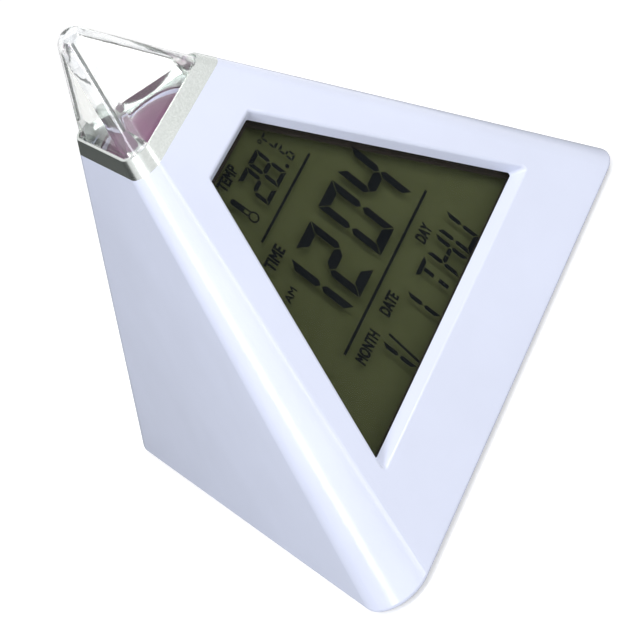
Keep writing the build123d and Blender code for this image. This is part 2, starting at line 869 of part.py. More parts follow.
def lamp_ribbon():
    """Ribbon from the main board up to the underside of the lamp board."""
    end_y = axis_y + lamp_ribbon_behind_axis
    end_z = lamp_board_z - lamp_board_thickness
    points = [
        board_point(lamp_ribbon_up_face, 0),
        board_point(lamp_ribbon_up_face, ribbon_lead_out),
        (end_y, end_z - lamp_ribbon_sag),
        (end_y, end_z),
    ]
    return ribbon(points, lamp_ribbon_width)


def key_ribbon():
    """Ribbon from the main board over the battery tub to the key board."""
    end_y = key_y - key_ribbon_ahead_of_keys
    over_z = tub_top_z + key_ribbon_over_tub
    points = [
        board_point(key_ribbon_up_face, 0),
        board_point(key_ribbon_up_face, ribbon_lead_out),
        (end_y, over_z),
        (end_y, key_board_z + key_board_thickness),
    ]
    return ribbon(points, key_ribbon_width)


def battery_leads():
    """Two wires that rise from the solder tags and turn square to the main board."""
    x = -tub_half + contact_thickness / 2
    tag_z = tub_top_z + contact_tag_height
    wires = []
    for tag_y, up in zip((first_cell_y, last_cell_y), lead_up_faces):
        end_y, end_z = board_point(up, 0)
        turn_z = end_z - (tag_y - end_y) * lean_sin / lean_cos
        line = FilletPolyline((tag_y, tag_z), (tag_y, turn_z), (end_y, end_z), radius=lead_bend)
        path = Plane.YZ.offset(x) * line
        section = Plane(path @ 0, z_dir=path % 0) * Circle(lead_radius)
        wires.append(sweep(section, path=path))
    return wires


def housing_nodes():
    """Pieces that stay with the shell."""
    panes = trapezoid(pane_bottom, pane_top, pane_grow)
    rear_panes = trapezoid(rear_pane_bottom, pane_top, pane_grow)
    return {
        "pyramid_shell": pyramid_shell(),
        "tip_collar": tip_collar(),
        "lamp_diffuser": lamp_diffuser(),
        "lamp_board": lamp_board(),
        "rgb_led": rgb_led(),
        "lamp_screws": lamp_screws(),
        "tip_switch": tip_switch_place() * switch_case(),
        "lcd_front_glass": front_slab(panes, wall, rear_pane_depth),
        "lcd_rear_glass": front_slab(rear_panes, rear_pane_depth, reflector_depth),
        "lcd_reflector": front_slab(rear_panes, reflector_depth, frame_back_depth),
        "lcd_frame": lcd_frame(),
        "zebra_strip": front_slab(zebra_outline(0), rear_pane_depth, board_depth),
        "main_board": main_board(),
        "chip_blob": chip_blob(),
        "crystal_can": crystal_can(),
        "capacitors": capacitors(),
        "thermistor": thermistor(),
        "board_screws": board_screws(),
        "lamp_ribbon": lamp_ribbon(),
        "base_cover": base_cover(),
        "aaa_cells": aaa_cells(),
        "negative_contact": negative_contact(),
        "positive_contact": positive_contact(),
        "link_contact": link_contact(),
        "battery_leads": battery_leads(),
        "key_board": key_board(),
        "key_board_screws": key_board_screws(),
        "key_switches": [key_switch_place(x) * switch_case() for x in key_xs()],
        "key_ribbon": key_ribbon(),
        "buzzer": buzzer(),
        "base_screws": base_screws(),
        "rubber_feet": rubber_feet(),
    }


def moving_nodes():
    """Pieces that move: the tip, the battery door and the keys, with the switch buttons they push."""
    nodes = {
        "clear_tip": clear_tip(),
        "tip_switch_button": tip_switch_place() * switch_button(tip_travel),
        "battery_door": battery_door(),
    }
    for name, x in zip(key_names, key_xs()):
        nodes[name + "_key"] = key_cap(x)
        nodes[name + "_switch_button"] = key_switch_place(x) * switch_button(key_travel)
    return nodes


os.makedirs("parts", exist_ok=True)
for node, shape in {**housing_nodes(), **moving_nodes()}.items():
    solids = Compound(children=shape) if isinstance(shape, list) else shape
    export_step(solids, os.path.join("parts", node + ".step"))
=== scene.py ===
import bpy
from math import radians, sqrt
from mathutils import Matrix, Vector


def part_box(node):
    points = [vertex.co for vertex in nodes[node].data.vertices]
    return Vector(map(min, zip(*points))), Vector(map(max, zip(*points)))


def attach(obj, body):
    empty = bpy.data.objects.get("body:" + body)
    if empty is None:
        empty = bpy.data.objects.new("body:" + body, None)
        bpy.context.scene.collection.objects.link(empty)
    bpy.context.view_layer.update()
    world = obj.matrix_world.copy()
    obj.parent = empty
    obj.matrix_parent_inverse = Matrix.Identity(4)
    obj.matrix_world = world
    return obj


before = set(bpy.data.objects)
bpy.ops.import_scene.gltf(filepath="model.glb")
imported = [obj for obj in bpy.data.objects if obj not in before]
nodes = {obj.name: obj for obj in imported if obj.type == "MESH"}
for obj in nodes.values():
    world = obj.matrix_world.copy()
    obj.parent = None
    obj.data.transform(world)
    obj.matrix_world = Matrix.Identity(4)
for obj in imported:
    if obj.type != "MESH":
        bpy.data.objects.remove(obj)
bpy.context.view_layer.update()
bpy.ops.object.select_all(action="DESELECT")

# Pyramid shell, base cover and battery door.
# One batch of glossy lavender-white ABS, injection moulded. The moulds leave a faint waviness over
# the large faces and a very fine polish grain, and the parts close with three screws from below.
shell_colour = (0.72, 0.76, 0.91)
shell_roughness = 0.22
shell_patch = 0.018
shell_grain = 0.0006
shell_grain_depth = 0.000002
ramp_low, ramp_high = 0.3, 0.7
colour_drift = 0.02
gloss_drift = 0.15
grain_strength = 0.3


def principled(name, roughness):
    """New material with one shader, set up for nodes."""
    material = bpy.data.materials.new(name)
    material.use_nodes = True
    shader = material.node_tree.nodes["Principled BSDF"]
    shader.inputs["Roughness"].default_value = roughness
    return material, shader


def feed(material, socket, value):
    """Joins a value to a socket of the material's shader."""
    tree = material.node_tree
    tree.links.new(value, tree.nodes["Principled BSDF"].inputs[socket])


def object_place(tree):
    """Place on the piece, in metres."""
    return tree.nodes.new("ShaderNodeTexCoord").outputs["Object"]


def noise(material, size, detail=2):
    """Noise on Object coordinates, with spots of about the given size in metres."""
    tree = material.node_tree
    spots = tree.nodes.new("ShaderNodeTexNoise")
    spots.inputs["Scale"].default_value = 1 / size
    spots.inputs["Detail"].default_value = detail
    tree.links.new(object_place(tree), spots.inputs["Vector"])
    return spots.outputs["Fac"]


def colour_between(material, share, dark, light):
    """Colour that runs from dark to light with a share."""
    tree = material.node_tree
    ramp = tree.nodes.new("ShaderNodeValToRGB")
    ends = ((ramp_low, dark), (ramp_high, light))
    for element, (position, colour) in zip(ramp.color_ramp.elements, ends):
        element.position = position
        element.color = (*colour, 1)
    tree.links.new(share, ramp.inputs["Fac"])
    return ramp.outputs["Color"]


def shade_between(material, share, dark, light):
    """Base colour that runs from dark to light with a share."""
    feed(material, "Base Color", colour_between(material, share, dark, light))


def spread(tree, value, low, high, start=0.0, end=1.0):
    """Value that runs from low to high while another runs from start to end."""
    run = tree.nodes.new("ShaderNodeMapRange")
    run.inputs["From Min"].default_value = start
    run.inputs["From Max"].default_value = end
    run.inputs["To Min"].default_value = low
    run.inputs["To Max"].default_value = high
    tree.links.new(value, run.inputs["Value"])
    return run.outputs["Result"]


def vary_roughness(material, share, low, high):
    """Roughness that runs from low to high with a share."""
    feed(material, "Roughness", spread(material.node_tree, share, low, high))


def bump(material, share, depth, strength):
    """Raised grain of a real depth in metres."""
    tree = material.node_tree
    relief = tree.nodes.new("ShaderNodeBump")
    relief.inputs["Distance"].default_value = depth
    relief.inputs["Strength"].default_value = strength
    tree.links.new(share, relief.inputs["Height"])
    feed(material, "Normal", relief.outputs["Normal"])


def tinted(colour, share):
    """Colour made darker or lighter by a share."""
    return tuple(min(channel * share, 1.0) for channel in colour)


def moulded(name, colour, roughness, patch, grain, depth):
    """Moulded plastic or rubber: slow colour drift, uneven gloss and a fine surface grain."""
    material, _ = principled(name, roughness)
    drift = noise(material, patch, detail=3)
    shade_between(material, drift, tinted(colour, 1 - colour_drift), tinted(colour, 1 + colour_drift))
    vary_roughness(material, drift, roughness * (1 - gloss_drift), roughness * (1 + gloss_drift))
    bump(material, noise(material, grain), depth, grain_strength)
    return material


def dress(material, *names):
    """Gives a material to CAD nodes."""
    for name in names:
        slots = nodes[name].data.materials
        slots.clear()
        slots.append(material)


shell_plastic = moulded(
    "shell_white_abs", shell_colour, shell_roughness, shell_patch, shell_grain, shell_grain_depth,
)
dress(shell_plastic, "pyramid_shell", "base_cover", "battery_door")

# Display panes and reflector.
# Two sheets of clear glass with the liquid crystal between them, and an olive reflecting film behind.
# The panes are held against the inside of the window, so the wall shades the film along its edges.
pane_roughness = 0.06
pane_smear = 0.012
pane_shade = 0.95
front_pane_colour = (0.06, 0.07, 0.05)
front_pane_cover = 0.04
rear_pane_colour = (0.05, 0.06, 0.03)
rear_pane_cover = 0.02
film_light = (0.075, 0.084, 0.037)
film_dark = (0.062, 0.070, 0.029)
film_roughness = 0.6
film_cloud = 0.03
film_grain = 0.0003
film_grain_depth = 0.00001


def clear_film(name, colour, cover):
    """Pane that lets most light straight through, so that the segments shade the film behind it."""
    material, shader = principled(name, pane_roughness)
    shade_between(material, noise(material, pane_smear), tinted(colour, pane_shade), colour)
    shader.inputs["Alpha"].default_value = cover
    return material


def behind_glass(name, roughness, size, dark, light, detail=2):
    """Clouded matt layer with no gloss of its own, because the pane in front of it has the gloss."""
    material, shader = principled(name, roughness)
    shader.inputs["Specular IOR Level"].default_value = 0.0
    shade_between(material, noise(material, size, detail), dark, light)
    return material


dress(clear_film("display_pane", front_pane_colour, front_pane_cover), "lcd_front_glass")
dress(clear_film("display_rear_pane", rear_pane_colour, rear_pane_cover), "lcd_rear_glass")
reflector_film = behind_glass("olive_reflector", film_roughness, film_cloud, film_dark, film_light, detail=4)
bump(reflector_film, noise(reflector_film, film_grain), film_grain_depth, grain_strength)
dress(reflector_film, "lcd_reflector")

# Display segments.
# Areas of liquid crystal that turn dark between the panes: seven-bar figures and a few bars more for the
# letters of the day. All are laid out on the sloping face, in millimetres, and then set into the glass.
mm = 0.001
lean_sin = 1 / 3
lean_cos = sqrt(8) / 3
foot_lift = 1.0
pane_low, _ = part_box("lcd_front_glass")
pane_depth = 1.8
pane_up_face = 12.53
crystal_depth = 2.9
crystal_thickness = 0.05
crystal_dark = (0.0045, 0.0055, 0.0075)
crystal_light = (0.0070, 0.0085, 0.0105)
crystal_roughness = 0.35
crystal_cloud = 0.004
layout_merge = 0.001
italic_share = 0.035
bar_gap = 0.16
lit_bars = {
    "0": "abcdef", "1": "bc", "2": "abged", "4": "fgbc", "6": "afgedc", "8": "abcdefg", "C": "afed",
    "T": "aij", "H": "febckl", "U": "fedcb",
}


def face_place(depth):
    """Frame of the sloping front face at a depth in millimetres: X across, Y up the slope, Z out."""
    across = Vector((1, 0, 0))
    up = Vector((0, lean_sin, lean_cos))
    out = Vector((0, -lean_cos, lean_sin))
    inwards = -out * mm
    pane_rise = up * pane_up_face * mm
    front_edge = Vector((0, pane_low.y - pane_rise.y - pane_depth * inwards.y, foot_lift * mm))
    origin = front_edge + depth * inwards
    turn = Matrix((across, up, out)).transposed().to_4x4()
    return Matrix.Translation(origin) @ turn @ Matrix.Diagonal((mm, mm, mm, 1))


def open_mesh(piece):
    """Selects one piece alone and opens all of its mesh for editing."""
    bpy.ops.object.select_all(action="DESELECT")
    piece.select_set(True)
    bpy.context.view_layer.objects.active = piece
    bpy.ops.object.mode_set(mode="EDIT")
    bpy.ops.mesh.select_all(action="SELECT")


def close_mesh():
    """Ends the editing of a mesh."""
    bpy.ops.object.mode_set(mode="OBJECT")


def cut_bar(x_low, x_high, y_low, y_high, cuts=(), thickness=crystal_thickness):
    """Thin bar between two corners, with its ends cut along lines given by a point and a direction."""
    middle = ((x_low + x_high) / 2, (y_low + y_high) / 2, 0)
    size = (x_high - x_low, y_high - y_low, thickness)
    bpy.ops.mesh.primitive_cube_add(size=1, location=middle, scale=size)
    bar = bpy.context.object
    bpy.ops.object.transform_apply(location=True, rotation=True, scale=True)
    open_mesh(bar)
    for (x, y), (toward_x, toward_y) in cuts:
        bpy.ops.mesh.select_all(action="SELECT")
        bpy.ops.mesh.bisect(
            plane_co=(x, y, 0), plane_no=(toward_x, toward_y, 0), use_fill=True, clear_outer=True,
        )
    close_mesh()
    return bar


def figure_bars(width, height, side, flat):
    """The bars of one figure, upright bars being side wide and level bars flat thick."""
    bars = {}
    half = height / 2
    for name, top in (("a", 1), ("d", -1)):
        edge = half * top
        low, high = sorted((edge, edge - flat * top))
        cuts = []
        for end in (-1, 1):
            start = width / 2 * end - bar_gap / 2 * end
            cuts.append(((start, edge), (flat * end, -side * top)))
        bars[name] = cut_bar(-width / 2, width / 2, low, high, cuts)
    for name, right, top in (("f", -1, 1), ("b", 1, 1), ("e", -1, -1), ("c", 1, -1)):
        outer = width / 2 * right
        inner = outer - side * right
        x_low, x_high = sorted((outer, inner))
        y_low, y_high = sorted((bar_gap * top, half * top))
        point = (outer - side / 2 * right, bar_gap * top)
        cuts = [
            ((outer, (half - bar_gap) * top), (-flat * right, side * top)),
            (point, (side * right, -side * top)),
            (point, (-flat * right, -side * top)),
        ]
        bars[name] = cut_bar(x_low, x_high, y_low, y_high, cuts)
    cuts = []
    for end in (-1, 1):
        point = ((width / 2 - side / 2 - bar_gap) * end, 0)
        cuts.append((point, (flat * end, side)))
        cuts.append((point, (flat * end, -side)))
    bars["g"] = cut_bar(-width / 2, width / 2, -flat / 2, flat / 2, cuts)
    return bars


def letter_bars(width, height, side, flat):
    """Bars of a letter figure: those of a figure, an upright one in the middle and two half bars across."""
    bars = figure_bars(width, height, side, flat)
    half = height / 2
    for name, top in (("i", 1), ("j", -1)):
        y_low, y_high = sorted(((flat / 2 + bar_gap) * top, (half - flat - bar_gap) * top))
        bars[name] = cut_bar(-side / 2, side / 2, y_low, y_high)
    for name, right in (("k", -1), ("l", 1)):
        inner = bar_gap * right
        outer = (width / 2 - side / 2 - bar_gap) * right
        x_low, x_high = sorted((inner, outer))
        cuts = [((outer, 0), (flat * right, side)), ((outer, 0), (flat * right, -side))]
        bars[name] = cut_bar(x_low, x_high, -flat / 2, flat / 2, cuts)
    return bars


def own_copy(piece, move):
    """Copy of a piece with its own mesh, moved."""
    copy = piece.copy()
    copy.data = piece.data.copy()
    bpy.context.collection.objects.link(copy)
    copy.data.transform(move)
    return copy


def write_figures(bars, width, height, placed):
    """Copies of the lit bars of each figure at its left edge and lower edge."""
    lean = Matrix.Identity(4)
    lean[0][1] = italic_share
    copies = []
    for figure, left, low in placed:
        move = Matrix.Translation((left + width / 2, low + height / 2, 0)) @ lean
        copies.extend(own_copy(bars[name], move) for name in lit_bars[figure])
    return copies


def name_piece(piece, name):
    """Gives a piece and its mesh one name."""
    piece.name = name
    piece.data.name = name


def join(name, pieces):
    """One named object from several."""
    bpy.ops.object.select_all(action="DESELECT")
    for piece in pieces:
        piece.select_set(True)
    bpy.context.view_layer.objects.active = pieces[0]
    bpy.ops.object.join()
    joined = bpy.context.object
    name_piece(joined, name)
    return joined


def set_in_glass(piece, material):
    """Sets a flat layout between the panes and makes it ride with the housing."""
    open_mesh(piece)
    bpy.ops.mesh.remove_doubles(threshold=layout_merge)
    bpy.ops.mesh.normals_make_consistent(inside=False)
    close_mesh()
    piece.data.transform(face_place(crystal_depth))
    piece.data.materials.clear()
    piece.data.materials.append(material)
    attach(piece, "housing")
    piece.select_set(False)


dark_crystal = behind_glass("dark_crystal", crystal_roughness, crystal_cloud, crystal_dark, crystal_light)
# Each set: width and height of a figure, width of an upright and of a level bar, the maker of the bars, and
# every figure with its left and lower edge.
figure_sets = {
    "time_figures": (
        (6.45, 13.55, 1.45, 1.87), figure_bars,
        (("1", -16.0, 30.15), ("2", -7.35, 30.15), ("0", 2.33, 30.15), ("4", 10.8, 30.15)),
    ),
    "temperature_figures": (
        (3.65, 6.5, 0.78, 0.80), figure_bars, (("2", -3.25, 51.17), ("8", 0.92, 51.17)),
    ),
    "unit_figures": (
        (1.55, 3.1, 0.40, 0.43), figure_bars, (("C", 7.0, 54.8), ("6", 7.08, 51.2)),
    ),
    "calendar_figures": (
        (4.5, 7.3, 0.82, 0.85), letter_bars,
        (("1", -16.5, 15.95), ("1", -5.05, 15.95), ("T", 3.0, 15.95), ("H", 8.35, 15.95),
         ("U", 13.75, 15.95)),
    ),
}
for set_name, (sizes, maker, placed) in figure_sets.items():
    cut_bars = maker(*sizes)
    figures = join(set_name, write_figures(cut_bars, sizes[0], sizes[1], placed))
    for cut in cut_bars.values():
        bpy.data.objects.remove(cut)
    set_in_glass(figures, dark_crystal)

# Display words.
# Plain words that name each row, and the mark of the morning, printed with the segments in a narrow face.
# Each is given by its left, right, lower and upper edge and by how much bolder it is than the plain letters.
bold_growth = 0.032
light_growth = 0.012
word_places = {
    "TEMP": (-6.5, -1.1, 58.42, 60.5, bold_growth),
    "TIME": (-13.8, -8.65, 45.0, 47.25, bold_growth),
    "AM": (-16.9, -13.85, 40.15, 41.55, light_growth),
    "MONTH": (-18.15, -11.3, 24.02, 26.25, bold_growth),
    "DATE": (-7.3, -2.55, 24.02, 26.25, bold_growth),
    "DAY": (9.56, 13.33, 24.02, 26.25, bold_growth),
}
curve_steps = 4
letter_merge = 0.00001
flat_angle = radians(0.5)


def work_solid(piece, tool, operation):
    """Adds a solid to a piece or takes it away."""
    work = piece.modifiers.new("work", "BOOLEAN")
    work.operation = operation
    work.object = tool
    bpy.context.view_layer.objects.active = piece
    bpy.ops.object.modifier_apply(modifier="work")
    bpy.data.objects.remove(tool)


def thicken(letters, growth):
    """Makes thin letters bold by uniting four copies, each moved towards one corner."""
    copies = []
    for right, top in ((1, 1), (1, -1), (-1, -1)):
        copies.append(own_copy(letters, Matrix.Translation((growth * right, growth * top, 0))))
    letters.data.transform(Matrix.Translation((-growth, growth, 0)))
    for copy in copies:
        work_solid(letters, copy, "UNION")
    open_mesh(letters)
    bpy.ops.mesh.dissolve_limited(angle_limit=flat_angle)
    close_mesh()


words = []
for word, (left, right, low, high, growth) in word_places.items():
    bpy.ops.object.select_all(action="DESELECT")
    bpy.ops.object.text_add(location=(0, 0, 0))
    text = bpy.context.object
    text.data.body = word
    text.data.extrude = crystal_thickness / 2
    text.data.resolution_u = curve_steps
    bpy.ops.object.convert(target="MESH")
    letters = bpy.context.object
    open_mesh(letters)
    bpy.ops.mesh.remove_doubles(threshold=letter_merge)
    close_mesh()
    thicken(letters, growth)
    xs = [vertex.co.x for vertex in letters.data.vertices]
    ys = [vertex.co.y for vertex in letters.data.vertices]
    grow_x = (right - left) / (max(xs) - min(xs))
    grow_y = (high - low) / (max(ys) - min(ys))
    letters.data.transform(
        Matrix.Translation((left, low, 0)) @ Matrix.Diagonal((grow_x, grow_y, 1, 1))
        @ Matrix.Translation((-min(xs), -min(ys), 0))
    )
    words.append(letters)
set_in_glass(join("display_words", words), dark_crystal)

# Rules between the rows, the stroke of the date and the marks by the temperature.
# Straight bars, a decimal point, a degree ring and a small thermometer, printed like the words. A bar has
# its left, right, lower and upper edge here, and a ring its middle and its inner and outer radius.
upper_rule = (-10.17, 10.58, 49.02, 49.48)
lower_rule = (-18.7, 19.25, 27.85, 28.35)
stroke_low = (-11.04, 15.95)
stroke_high = (-10.0, 22.8)
stroke_half = 0.23
thermometer_bulb = (-7.0, 52.42, 0.74, 1.03)
thermometer_bars = (
    (-7.62, -7.36, 53.2, 54.6),
    (-6.68, -6.42, 53.2, 54.6),
    (-7.62, -6.42, 54.42, 56.62),
)
thermometer_top = (-7.02, 56.62, 0, 0.60)
decimal_point = (5.62, 51.58, 0, 0.40)
degree_ring = (6.3, 57.75, 0.22, 0.42)
ring_steps = 40


def flat_ring(x, y, inner, outer):
    """Thin round ring, or a disc where the inner radius is zero."""
    bpy.ops.mesh.primitive_circle_add(vertices=ring_steps, radius=outer, location=(x, y, 0))
    ring = bpy.context.object
    bpy.ops.object.transform_apply(location=True)
    open_mesh(ring)
    if inner > 0:
        bpy.ops.mesh.extrude_edges_move()
        share = inner / outer
        bpy.ops.transform.resize(value=(share, share, 1), center_override=(x, y, 0))
    else:
        bpy.ops.mesh.edge_face_add()
    close_mesh()
    thick = ring.modifiers.new("thickness", "SOLIDIFY")
    thick.thickness = crystal_thickness
    thick.offset = 0
    bpy.ops.object.modifier_apply(modifier="thickness")
    return ring


rules = [cut_bar(*upper_rule), cut_bar(*lower_rule)]
stroke_run = Vector(stroke_high) - Vector(stroke_low)
stroke = cut_bar(-stroke_half, stroke_half, 0, stroke_run.y)
slide = Matrix.Translation((*stroke_low, 0))
slide[0][1] = stroke_run.x / stroke_run.y
stroke.data.transform(slide)
rules.append(stroke)
set_in_glass(join("display_rules", rules), dark_crystal)

thermometer = flat_ring(*thermometer_bulb)
thermometer_parts = [cut_bar(*place) for place in thermometer_bars]
thermometer_parts.append(flat_ring(*thermometer_top))
for part in thermometer_parts:
    work_solid(thermometer, part, "UNION")
marks = [thermometer, flat_ring(*decimal_point), flat_ring(*degree_ring)]
set_in_glass(join("temperature_marks", marks), dark_crystal)

# Seal of the display, and painted shade along the window.
# A dark line of glue, screen printed on the glass, that closes the two panes all round the part that is
# read. It reaches a little inside the window at the sides and the top, and that part is painted shade
# for the shadow that the window wall casts on the film.
view_half_at_foot = 41.72
view_slope_share = 0.5545
view_low, view_high = 15.93, 61.72
seal_low, seal_high = 15.2, 63.2
shade_reach = 0.8
seal_width = 1.3
opening_thickness = 4 * crystal_thickness
seal_and_shade_dark = (0.032, 0.027, 0.023)
seal_and_shade_light = (0.042, 0.035, 0.030)
seal_roughness = 0.5
seal_cloud = 0.002


def view_block(grow, low, high, thickness):
    """Slab with the slanting sides of the glass that is seen, moved outwards."""
    half = view_half_at_foot - view_slope_share * low + grow
    cuts = [((half * side, low), (side, view_slope_share)) for side in (-1, 1)]
    return cut_bar(-half, half, low, high, cuts, thickness)


# The band inside the window edges is painted shade; the rest of the ring is the glue seal.
seal = view_block(seal_width, seal_low, seal_high, crystal_thickness)
opening = view_block(-shade_reach, view_low, view_high - shade_reach, opening_thickness)
work_solid(seal, opening, "DIFFERENCE")
name_piece(seal, "display_seal_and_shade")
seal_glue_and_shade = behind_glass("seal_glue_and_shade", seal_roughness, seal_cloud, seal_and_shade_dark, seal_and_shade_light, detail=3)
set_in_glass(seal, seal_glue_and_shade)

# Silver collar.
# Thin drawn ring with a satin metal finish, blasted to a fine grain, pressed on the neck of the shell.
collar_dark = (0.61, 0.64, 0.62)
collar_light = (0.69, 0.72, 0.70)
collar_smooth, collar_rough = 0.20, 0.30
collar_grain = 0.0003
collar_grain_depth = 0.000006
collar_metal, shader = principled("satin_silver", collar_rough)
shader.inputs["Metallic"].default_value = 1.0
grain = noise(collar_metal, collar_grain, detail=3)
shade_between(collar_metal, grain, collar_dark, collar_light)
vary_roughness(collar_metal, grain, collar_smooth, collar_rough)
bump(collar_metal, grain, collar_grain_depth, grain_strength)
dress(collar_metal, "tip_collar")

# Clear tip and its lamp.
# Hollow cap of clear acrylic, hooked into the deck and pressed down on a switch. Its outer ridges are
# frosted, and thin lines of painted shade darken its inner ones. Below it, over a lamp of cast resin,
# sits a lens of mauve acrylic.
tip_peak = (0, -0.0133682, 0.0967136)
hollow_peak = (0, -0.0133682, 0.0900243)
left_ridge = (-0.45985, -0.26549, -0.84737)
right_ridge = (0.45985, -0.26549, -0.84737)
rear_ridge = (0, 0.53099, -0.84737)
clear_colour = (0.985, 0.99, 0.98)
clear_roughness = 0.02
# Near-black colour of the painted shade lines along the ridges of the hollow, then their widths.
painted_shade_line_colour = (0.02, 0.024, 0.022)
thin_shade_line = 0.00042
wide_shade_line = 0.00058
shade_line_fade = 0.00015
frost_colour = (0.70, 0.72, 0.75)
frost_roughness = 0.18
frost_clearness = 0.75
frost_patch = 0.0025
frost_reach = 0.0034
frost_fade = 0.0010
streak_size = 0.0022
streak_depth = 0.0004
streak_strength = 0.35
streak_off_frost = 0.06
acrylic_index = 1.49
bending_walls = 2
after_wall, before_next = 0.4, 0.6
lens_dark = (0.099, 0.034, 0.078)
lens_light = (0.125, 0.045, 0.098)
lens_roughness = 0.32
lens_gloss = 0.3
lens_cloud = 0.006
resin_dark = (0.80, 0.82, 0.83)
resin_light = (0.88, 0.90, 0.90)
resin_roughness = 0.15
resin_cover = 0.7
resin_cloud = 0.002


def combine(tree, operation, first, second):
    """One value from two, kept between zero and one where they are added."""
    node = tree.nodes.new("ShaderNodeMath")
    node.operation = operation
    node.use_clamp = operation == "ADD"
    tree.links.new(first, node.inputs[0])
    tree.links.new(second, node.inputs[1])
    return node.outputs["Value"]


def vector_step(tree, operation, vector, constant=(0, 0, 0)):
    """Node that works on a vector, with a constant one where the operation takes two."""
    node = tree.nodes.new("ShaderNodeVectorMath")
    node.operation = operation
    node.inputs[1].default_value = constant
    tree.links.new(vector, node.inputs[0])
    return node


def off_lines(material, start, directions, reach, fade):
    """Zero along straight lines from one point and one away from them, in metres on Object coordinates."""
    tree = material.node_tree
    reached = vector_step(tree, "SUBTRACT", object_place(tree), start).outputs["Vector"]
    distances = []
    for direction in directions:
        across = vector_step(tree, "CROSS_PRODUCT", reached, direction).outputs["Vector"]
        distances.append(vector_step(tree, "LENGTH", across).outputs["Value"])
    nearest = distances[0]
    for distance in distances[1:]:
        nearest = combine(tree, "MINIMUM", nearest, distance)
    return spread(tree, nearest, 0.0, 1.0, reach, reach + fade)


def bend_at_first(material, index, walls):
    """Light bends at the first walls that it meets and then runs straight, so it is not lost inside."""
    tree = material.node_tree
    depth = tree.nodes.new("ShaderNodeLightPath").outputs["Ray Depth"]
    tree.nodes["Principled BSDF"].inputs["IOR"].default_value = index
    feed(material, "IOR", spread(tree, depth, index, 1.0, walls + after_wall, walls + before_next))


tip_plastic, _ = principled("clear_acrylic", clear_roughness)
tip_tree = tip_plastic.node_tree
# Painted shade: dark lines along the ridges of the hollow, standing in for light lost inside the clear wall.
off_left_shade_line = off_lines(tip_plastic, hollow_peak, (left_ridge,), thin_shade_line, shade_line_fade)
off_other_shade_lines = off_lines(tip_plastic, hollow_peak, (right_ridge, rear_ridge), wide_shade_line, shade_line_fade)
off_painted_shade_lines = combine(tip_tree, "MINIMUM", off_left_shade_line, off_other_shade_lines)
off_outer = off_lines(tip_plastic, tip_peak, (left_ridge, right_ridge, rear_ridge), frost_reach, frost_fade)
smooth_share = combine(tip_tree, "MAXIMUM", off_outer, noise(tip_plastic, frost_patch, detail=3))
tint = tip_tree.nodes.new("ShaderNodeMix")
tint.data_type = "RGBA"
tint.blend_type = "MULTIPLY"
tint.inputs["Factor"].default_value = 1.0
tip_tree.links.new(colour_between(tip_plastic, off_painted_shade_lines, painted_shade_line_colour, clear_colour), tint.inputs["A"])
tip_tree.links.new(colour_between(tip_plastic, smooth_share, frost_colour, (1, 1, 1)), tint.inputs["B"])
feed(tip_plastic, "Base Color", tint.outputs["Result"])
feed(tip_plastic, "Transmission Weight", spread(tip_tree, smooth_share, frost_clearness, 1.0))
vary_roughness(tip_plastic, smooth_share, frost_roughness, clear_roughness)
bend_at_first(tip_plastic, acrylic_index, bending_walls)
streak_share = spread(tip_tree, smooth_share, 1.0, streak_off_frost)
streaks = combine(tip_tree, "MULTIPLY", streak_share, noise(tip_plastic, streak_size, detail=1))
bump(tip_plastic, streaks, streak_depth, streak_strength)
dress(tip_plastic, "clear_tip")
lens_plastic, shader = principled("mauve_lens", lens_roughness)
shader.inputs["Specular IOR Level"].default_value = lens_gloss
shade_between(lens_plastic, noise(lens_plastic, lens_cloud), lens_dark, lens_light)
dress(lens_plastic, "lamp_diffuser")
resin, shader = principled("lamp_resin", resin_roughness)
shader.inputs["Alpha"].default_value = resin_cover
shade_between(resin, noise(resin, resin_cloud), resin_dark, resin_light)
dress(resin, "rgb_led")

# Keys, feet, screws and contacts.
# Grey caps that slide in the base, soft rubber feet stuck on below it, zinc plated screws, and nickel plated
# contacts and crystal can. A finish: name, colour, roughness, size of patches, and size and depth of grain.
key_finish = ("key_grey_abs", (0.55, 0.56, 0.64), 0.30, 0.006, 0.0004, 0.000003)
foot_finish = ("foot_rubber", (0.50, 0.50, 0.53), 0.75, 0.003, 0.0003, 0.00001)
zinc_finish = ("zinc_plate", (0.62, 0.62, 0.63), 0.32, 0.0008)
nickel_finish = ("nickel_plate", (0.70, 0.69, 0.66), 0.22, 0.0012)
plate_dark, plate_light = 0.85, 1.1
plate_smooth, plate_rough = 0.7, 1.3
plate_grain_finer = 3
plate_grain_depth = 0.000005
plate_grain_strength = 0.2


def metal(name, colour, roughness, patch):
    """Plated metal with uneven polish."""
    material, shader = principled(name, roughness)
    shader.inputs["Metallic"].default_value = 1.0
    cloud = noise(material, patch, detail=4)
    shade_between(material, cloud, tinted(colour, plate_dark), tinted(colour, plate_light))
    vary_roughness(material, cloud, roughness * plate_smooth, roughness * plate_rough)
    bump(material, noise(material, patch / plate_grain_finer), plate_grain_depth, plate_grain_strength)
    return material


dress(moulded(*key_finish), "mode_key", "set_key", "up_key", "down_key")
dress(moulded(*foot_finish), "rubber_feet")
dress(metal(*zinc_finish), "base_screws", "board_screws", "lamp_screws", "key_board_screws")
dress(metal(*nickel_finish), "negative_contact", "positive_contact", "link_contact", "crystal_can")

